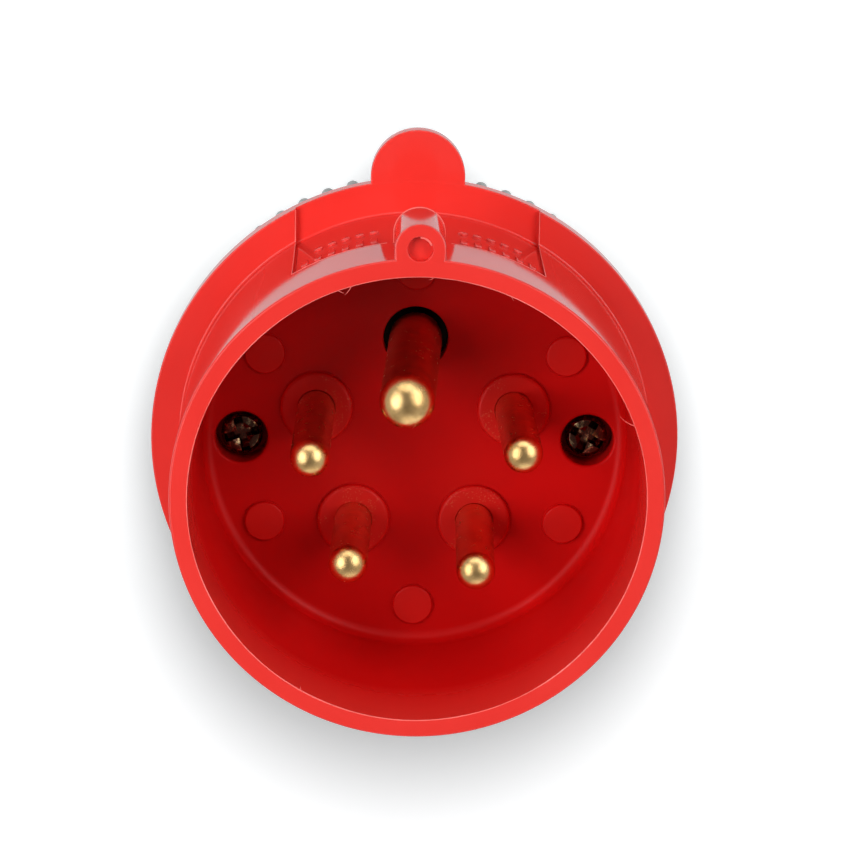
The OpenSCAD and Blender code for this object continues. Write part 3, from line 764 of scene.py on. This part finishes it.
def build_nut():
    """The gland nut, from rows (r, z, 0 to 1 for the depth of the flutes)."""
    foot = arc(NUT_R - NUT_ROUND, NUT_ROUND, NUT_ROUND, -90, 0, 5)
    crown = arc(NUT_R - NUT_ROUND, NUT_LEN - NUT_ROUND, NUT_ROUND, 0, 90, 5)
    rows = [(r, z, 0) for r, z in [(ENTRY_R + ENTRY_ROUND, 0.0)] + foot]
    for t in (i / 6 for i in range(7)):
        rows.append((NUT_R, FLUTE_Z + FLUTE_RUN_OUT * t, smooth(t)))
    rows += [(NUT_R, z, 1) for z in (10, 16, 22, 27)]
    rows += [(r, z, 1) for r, z in crown]
    bore = [(NUT_BORE_R + 0.4, NUT_LEN), (NUT_BORE_R, NUT_LEN - 0.4), (NUT_BORE_R, NUT_END_T)]
    bore += [(ENTRY_R, NUT_END_T), (ENTRY_R, ENTRY_ROUND), (ENTRY_R + 0.18, 0.18)]
    rows += [(r, z, 0) for r, z in bore]

    def wave(phi, k):
        flute = rows[k][2]
        if not flute:
            return 0.0
        d = min(1.0, spacing(phi, FLUTE_COUNT, NUT_R, 0.0) / FLUTE_HALF_W)
        return -FLUTE_DEPTH * flute * (1 - smooth(d))

    nut = scratch(lathe([row[:2] for row in rows], 24 * FLUTE_COUNT, wave=wave))
    finish_piece(nut, "gland_nut_shell", "nut", GREY, ["gland_nut"], 40)


def build_seal():
    """The seal between the housings, with a bulging rim."""
    flat_r, top_z = BAND_R - 0.55, SEAL_Z + SEAL_T
    rim = arc(BAND_R - 0.9, SEAL_Z + 0.5, 0.5, -70, 70)
    outline = [(SEAL_IN_R, SEAL_Z), (flat_r, SEAL_Z)] + rim + [(flat_r, top_z), (SEAL_IN_R, top_z)]
    seal = scratch(lathe(outline, 256))
    finish_piece(seal, "flange_seal", "plug_body", RUBBER, ["flange_gasket"])


build_rear()
build_nut()
build_seal()

# ---- pocket marks and moulding flash ----


def on_wall(s, z, lift):
    """A point on the pocket's floor: s along the arc from the top, z up the axis, lift outwards."""
    t = (POCKET_Z - z) / (POCKET_Z - POCKET_FACE_Z)
    r = SHROUD_R - POCKET_DEPTH / 2 + (ROOT_R - SHROUD_R) * t
    phi = math.pi / 2 - s / r
    return ((r + lift) * math.cos(phi), (r + lift) * math.sin(phi), z)


def mark(points, s0, z0):
    """A low mark with soft edges: its outline shrinks towards its centre as it rises."""
    lift = 0.3
    loops = []
    for shrink, h in ((1.0, -0.1), (1.0, lift * 0.5), (0.93, lift * 0.88), (0.78, lift)):
        loops.append([on_wall(s0 + x * shrink, z0 + y * shrink, h) for x, y in points])
    return loft(loops)


def pill(w, h, n=5):
    """Outline of an upright bar with round ends, w wide and h long."""
    points = []
    for a0, cy in ((0, h / 2 - w / 2), (180, -h / 2 + w / 2)):
        for i in range(n + 1):
            x, y = polar(w / 2, a0 + 180 * i / n)
            points.append((x, cy + y))
    return points


def disc(r, n=18):
    return [(r * math.cos(TAU * i / n), r * math.sin(TAU * i / n)) for i in range(n)]


def build_marks():
    """Plain marks in the pocket on both sides of the key: a row of six bars above five dots."""
    bm = bmesh.new()
    first, pitch = 5.7, 1.85
    for side in (-1, 1):
        for shape, depth, count in ((pill(0.9, 3.2), 14.4, 6), (disc(0.6), 19.8, 5)):
            for i in range(count):
                absorb(bm, mark(shape, side * (first + pitch * i), RIM_Z - depth))
    finish_piece(scratch(bm), "pocket_marks", "plug_body", RED, sharp_angle=50)


build_marks()


def tube_ring(p, ahead, hint, r):
    """Six points round p, across the direction `ahead`; `hint` settles how they are turned."""
    side = ahead.cross(Vector(hint)).normalized()
    up = ahead.cross(side).normalized()
    angles = [TAU * k / 6 for k in range(6)]
    return [p + r * (math.cos(a) * side + math.sin(a) * up) for a in angles]


def hair(points, r0):
    """A thin curl of flash: a tube along the points that tapers to its tip."""
    loops = []
    last = len(points) - 1
    for i, p in enumerate(points):
        ahead = Vector(points[min(i + 1, last)]) - Vector(points[max(i - 1, 0)])
        loops.append(tube_ring(Vector(p), ahead, (0.3, 0.2, 1.0), r0 * (1 - 0.8 * i / last)))
    return loft(loops)


def seam(points, r, closed):
    """A thin even bead along the points."""
    loops = []
    count = len(points)
    for i, p in enumerate(points):
        after = points[(i + 1) % count] if closed else points[min(i + 1, count - 1)]
        before = points[i - 1] if closed or i else points[0]
        ahead = (Vector(after) - Vector(before)).normalized()
        loops.append(tube_ring(Vector(p), ahead, (0.13, 0.21, 0.97), r))
    return loft(loops, closed)


def mouth_edge():
    """The mouth's slightly uneven inner edge."""
    points = []
    for a in (TAU * i / 720 for i in range(720)):
        r = MOUTH_R + 0.02 + 0.03 * math.sin(7 * a) * math.sin(3 * a + 1)
        points.append((r * math.cos(a), r * math.sin(a), RIM_Z - 0.1))
    return points


def pocket_side(x):
    """One side edge of the pocket, down the wall and out along the flange."""
    y = math.sqrt((SHROUD_R + 0.02) ** 2 - x * x)
    y_edge = math.sqrt(FLANGE_R ** 2 - x * x) - 0.1
    line = [(x, y, POCKET_Z - down) for down in (0.4, 6, 12)]
    line.append((x, y + 0.05, FLANGE_FRONT_Z + 0.05))
    return line + [(x, y + (y_edge - y) * t, FLANGE_FRONT_Z) for t in (0.15, 0.5, 0.8, 1.0)]


def seam_lines():
    """Where the mould's parts meet, as (points, bead radius, closed): the mouth's inner edge, the
    key's rear end, the pocket's sides, the dimple's edge and the pocket's front edge."""
    yield mouth_edge(), 0.085, True
    yield arch(KEY_W / 2 + KEY_DRAFT, KEY_Y, 30.9, RIM_Z - KEY_LEN, 5), 0.09, False
    for side in (-1, 1):
        yield pocket_side(side * POCKET_W / 2), 0.07, False
    yield around(KEY_HOLE_D / 2 - 0.1, KEY_Y, RIM_Z - 0.16, range(20, 91, 5)), 0.13, False
    half = math.degrees(math.asin(POCKET_W / 2 / SHROUD_R))
    for start, stop in ((90 - half, 90 - 7.5), (90 + 7.5, 90 + half)):
        angles = [start + (stop - start) * i / 40 for i in range(41)]
        yield around(SHROUD_R + 0.01, 0, POCKET_Z, angles), 0.07, False


CURLS = (  # angle on the mouth's edge in degrees, length, and bend away from the axis in radians
    (107.0, 1.5, 0.9),
    (110.5, 0.9, -0.7),
    (86.5, 0.8, 0.9),
    (67.0, 0.8, -0.8),
    (20.5, 2.4, 0.95),
    (240.0, 0.6, -0.6),
)


def curl_points(angle, length, bend):
    """A short curve inwards from the mouth's edge."""
    points = []
    for t in (i / 7 for i in range(8)):
        heading = bend * (0.6 + 0.4 * t)
        r = MOUTH_R + 0.1 - length * t * math.cos(heading)
        a = math.radians(angle) + length * t * math.sin(heading) / MOUTH_R
        points.append((r * math.cos(a), r * math.sin(a), RIM_Z - 0.12 - 0.25 * t))
    return points


def build_flash():
    """Beads of flash along the mould lines, and small curls on the rim's inner edge, in a paler red
    that is a painted highlight along them.
    """
    bm = bmesh.new()
    for points, r, closed in seam_lines():
        absorb(bm, seam(points, r, closed))
    for curl in CURLS:
        absorb(bm, hair(curl_points(*curl), 0.07))
    finish_piece(scratch(bm), "rim_flash", "plug_body", RED_FLASH_HIGHLIGHT, sharp_angle=60)


build_flash()

# ---- the rest of the CAD nodes get their materials ----

SLOT_MATERIALS = {
    "red_moulding": RED,
    "grey_moulding": GREY,
    "insulator": INSULATOR,
    "brass": BRASS,
    "plated_screw": ZINC,
    "rubber_seal": RUBBER,
}
for row in frame["record"]["subparts"]:
    node = frame["nodes"][row["node"]]
    for slot in node.material_slots:
        slot.material = SLOT_MATERIALS[row["material_slot"]]

# ---- floor and world ----

FLOOR_COLOUR = (0.86, 0.87, 0.88)
FLOOR_HALF = 6.0
# The glow is weaker near the object: a painted shadow round it on the floor.
GLOW, GLOW_REACH = (0.33, 0.62), (0.062, 0.13)  # strengths, and the distances that they go with
WORLD_LIGHT, CEILING_GLOW, SIDE_GLOW = 0.05, 0.22, 0.48
WHITE = (1.0, 1.0, 1.0, 1.0)


def floor_material():
    """A pale matt surface, clear from below. Camera and mirror rays also see a little of its own
    light, so that it reads as white and keeps its shadow; there is less of it near the object,
    which paints a darker shadow round it. Mirror rays see the floor at half its colour, a painted
    darker reflection of it."""
    n = Nodes("floor_white")
    n.set(Roughness=0.9, Emission_Color=WHITE, Specular_IOR_Level=0.0)
    nodes = n.tree.nodes
    path = nodes.new("ShaderNodeLightPath").outputs
    away = nodes.new("ShaderNodeVectorMath")
    away.operation = "LENGTH"
    n.link(n.coord, away.inputs[0])
    # Painted reflection: mirror rays see the floor at half its colour.
    n.colour(n.mix(path["Is Glossy Ray"], FLOOR_COLOUR, tuple(0.5 * c for c in FLOOR_COLOUR)))
    seen = n.math("MAXIMUM", path["Is Camera Ray"], path["Is Glossy Ray"])
    seen = n.math("MAXIMUM", seen, path["Is Transmission Ray"])
    # Painted shadow: the glow is weaker near the object.
    glow = n.spread(away.outputs["Value"], GLOW, GLOW_REACH)
    n.link(n.product(seen, glow), n.bsdf.inputs["Emission Strength"])
    mix = nodes.new("ShaderNodeMixShader")
    n.link(nodes.new("ShaderNodeNewGeometry").outputs["Backfacing"], mix.inputs[0])
    n.link(n.bsdf.outputs[0], mix.inputs[1])
    n.link(nodes.new("ShaderNodeBsdfTransparent").outputs[0], mix.inputs[2])
    n.link(mix.outputs[0], nodes["Material Output"].inputs["Surface"])
    return n.mat


def make_floor():
    bm = bmesh.new()
    signs = ((-1, -1), (1, -1), (1, 1), (-1, 1))
    bm.faces.new([bm.verts.new((sx * FLOOR_HALF, sy * FLOOR_HALF, 0)) for sx, sy in signs])
    floor = scratch(bm, "floor")
    floor.data.materials.append(floor_material())
    return floor


def make_world():
    """Plain white behind the object. Mirror rays see it pale at the sides and darker overhead,
    where the camera is, and the light it gives is faint and even."""
    world = bpy.data.worlds.new("studio")
    bpy.context.scene.world = world
    world.use_nodes = True
    tree = world.node_tree
    path = tree.nodes.new("ShaderNodeLightPath").outputs
    coord = tree.nodes.new("ShaderNodeTexCoord").outputs["Generated"]
    split = tree.nodes.new("ShaderNodeSeparateXYZ")
    tree.links.new(coord, split.inputs[0])
    ramp = tree.nodes.new("ShaderNodeMapRange")
    ramp.interpolation_type = "SMOOTHSTEP"
    ramp.inputs["From Min"].default_value = 0.6
    ramp.inputs["From Max"].default_value = 1.0
    ramp.inputs["To Min"].default_value = SIDE_GLOW
    ramp.inputs["To Max"].default_value = CEILING_GLOW
    tree.links.new(split.outputs["Z"], ramp.inputs["Value"])
    direct = math_node(tree, "MAXIMUM", path["Is Camera Ray"], path["Is Transmission Ray"])
    mirror = math_node(tree, "MULTIPLY", path["Is Glossy Ray"], ramp.outputs["Result"])
    seen = math_node(tree, "MAXIMUM", direct, mirror)
    background = tree.nodes["Background"].inputs
    tree.links.new(math_node(tree, "MAXIMUM", seen, WORLD_LIGHT), background["Strength"])
    background["Color"].default_value = WHITE


FLOOR = make_floor()
make_world()

# ---- lights ----

MOUTH = Vector((0.0, 0.0, RIM_Z * MM))
LAMP_REACH, PANEL_REACH = 0.75, 0.73


def receivers(name, state):
    """A light-linking group that holds the floor, as the only receiver or as the one left out."""
    group = bpy.data.collections.new(name)
    group.objects.link(FLOOR)
    group.collection_objects[0].light_linking.link_state = state
    return group


NOT_FLOOR = receivers("all_but_floor", "EXCLUDE")
ONLY_FLOOR = receivers("only_floor", "INCLUDE")


def facing(place, aim):
    """A turn whose -Z looks from `place` to `aim`, with its Y axis as near to the world's as it
    can be."""
    z = (Vector(place) - aim).normalized()
    x = Vector((0, 1, 0)).cross(z).normalized()
    return Matrix((x, z.cross(x), z)).transposed().to_euler()


def lamp(name, place, aim, size, power, group, hidden):
    """An oval soft light at `place` that looks at `aim`. `hidden` is the kind of ray that doesn't
    see it."""
    data = bpy.data.lights.new(name, "AREA")
    data.shape = "ELLIPSE"
    data.size, data.size_y = size
    data.energy = power
    obj = bpy.data.objects.new(name, data)
    obj.location = place
    obj.rotation_euler = facing(place, aim)
    obj.light_linking.receiver_collection = group
    setattr(obj, hidden, False)
    bpy.context.scene.collection.objects.link(obj)


def softbox(name, direction, size, power, panel_direction, panel, shine):
    """A lamp that lights the object, and a little nearer the panel that mirrors show, of radiance
    `shine`. Directions are seen from the mouth."""
    place = MOUTH + LAMP_REACH * Vector(direction).normalized()
    lamp(name, place, MOUTH, size, power, NOT_FLOOR, "visible_glossy")
    energy = shine * math.pi * panel[0] * panel[1] * math.pi / 4
    place = MOUTH + PANEL_REACH * Vector(panel_direction).normalized()
    lamp(name + "_front", place, MOUTH, panel, energy, NOT_FLOOR, "visible_diffuse")


softbox(
    "left_box", (-0.66, 0.19, 0.73), (0.42, 0.62), 5.4,
    panel_direction=(-0.555, 0.075, 0.83), panel=(0.46, 0.72), shine=2.3,
)
softbox(
    "right_box", (0.65, 0.41, 0.64), (0.42, 0.62), 3.85,
    panel_direction=(0.597, 0.26, 0.76), panel=(0.46, 0.70), shine=2.1,
)
softbox(
    "top_box", (0.0, 0.96, 0.28), (0.60, 0.34), 0.7,
    panel_direction=(0.0, 0.80, 0.60), panel=(0.74, 0.38), shine=1.4,
)
softbox(
    "back_box", (0.25, -0.93, 0.28), (0.60, 0.50), 2.0,
    panel_direction=(0.25, -0.93, 0.28), panel=(0.90, 0.60), shine=0.5,
)
lamp(
    "floor_lamp", Vector((-0.004, 0.117, 0.465)), Vector((0, 0, 0)), (0.05, 0.08), 2.0,
    ONLY_FLOOR, "visible_glossy",
)

# ---- camera ----

CAMERA_PLACE = (-5.960, 116.762, 523.944)
YAW, PITCH, ROLL = 0.9566, 14.660, -0.8115

camera = bpy.data.cameras.new("camera")
camera.sensor_width = 36.0
camera.lens = 144.04
camera.clip_start, camera.clip_end = 0.01, 20.0
view = bpy.data.objects.new("camera", camera)
turn = (
    Matrix.Rotation(math.radians(-YAW), 4, "Y")
    @ Matrix.Rotation(math.radians(-PITCH), 4, "X")
    @ Matrix.Rotation(math.radians(-ROLL), 4, "Z")
)
view.matrix_world = Matrix.Translation(Vector(CAMERA_PLACE) * MM) @ turn
bpy.context.scene.collection.objects.link(view)
bpy.context.scene.camera = view
bpy.context.scene.view_settings.view_transform = "Standard"

bpy.context.view_layer.update()
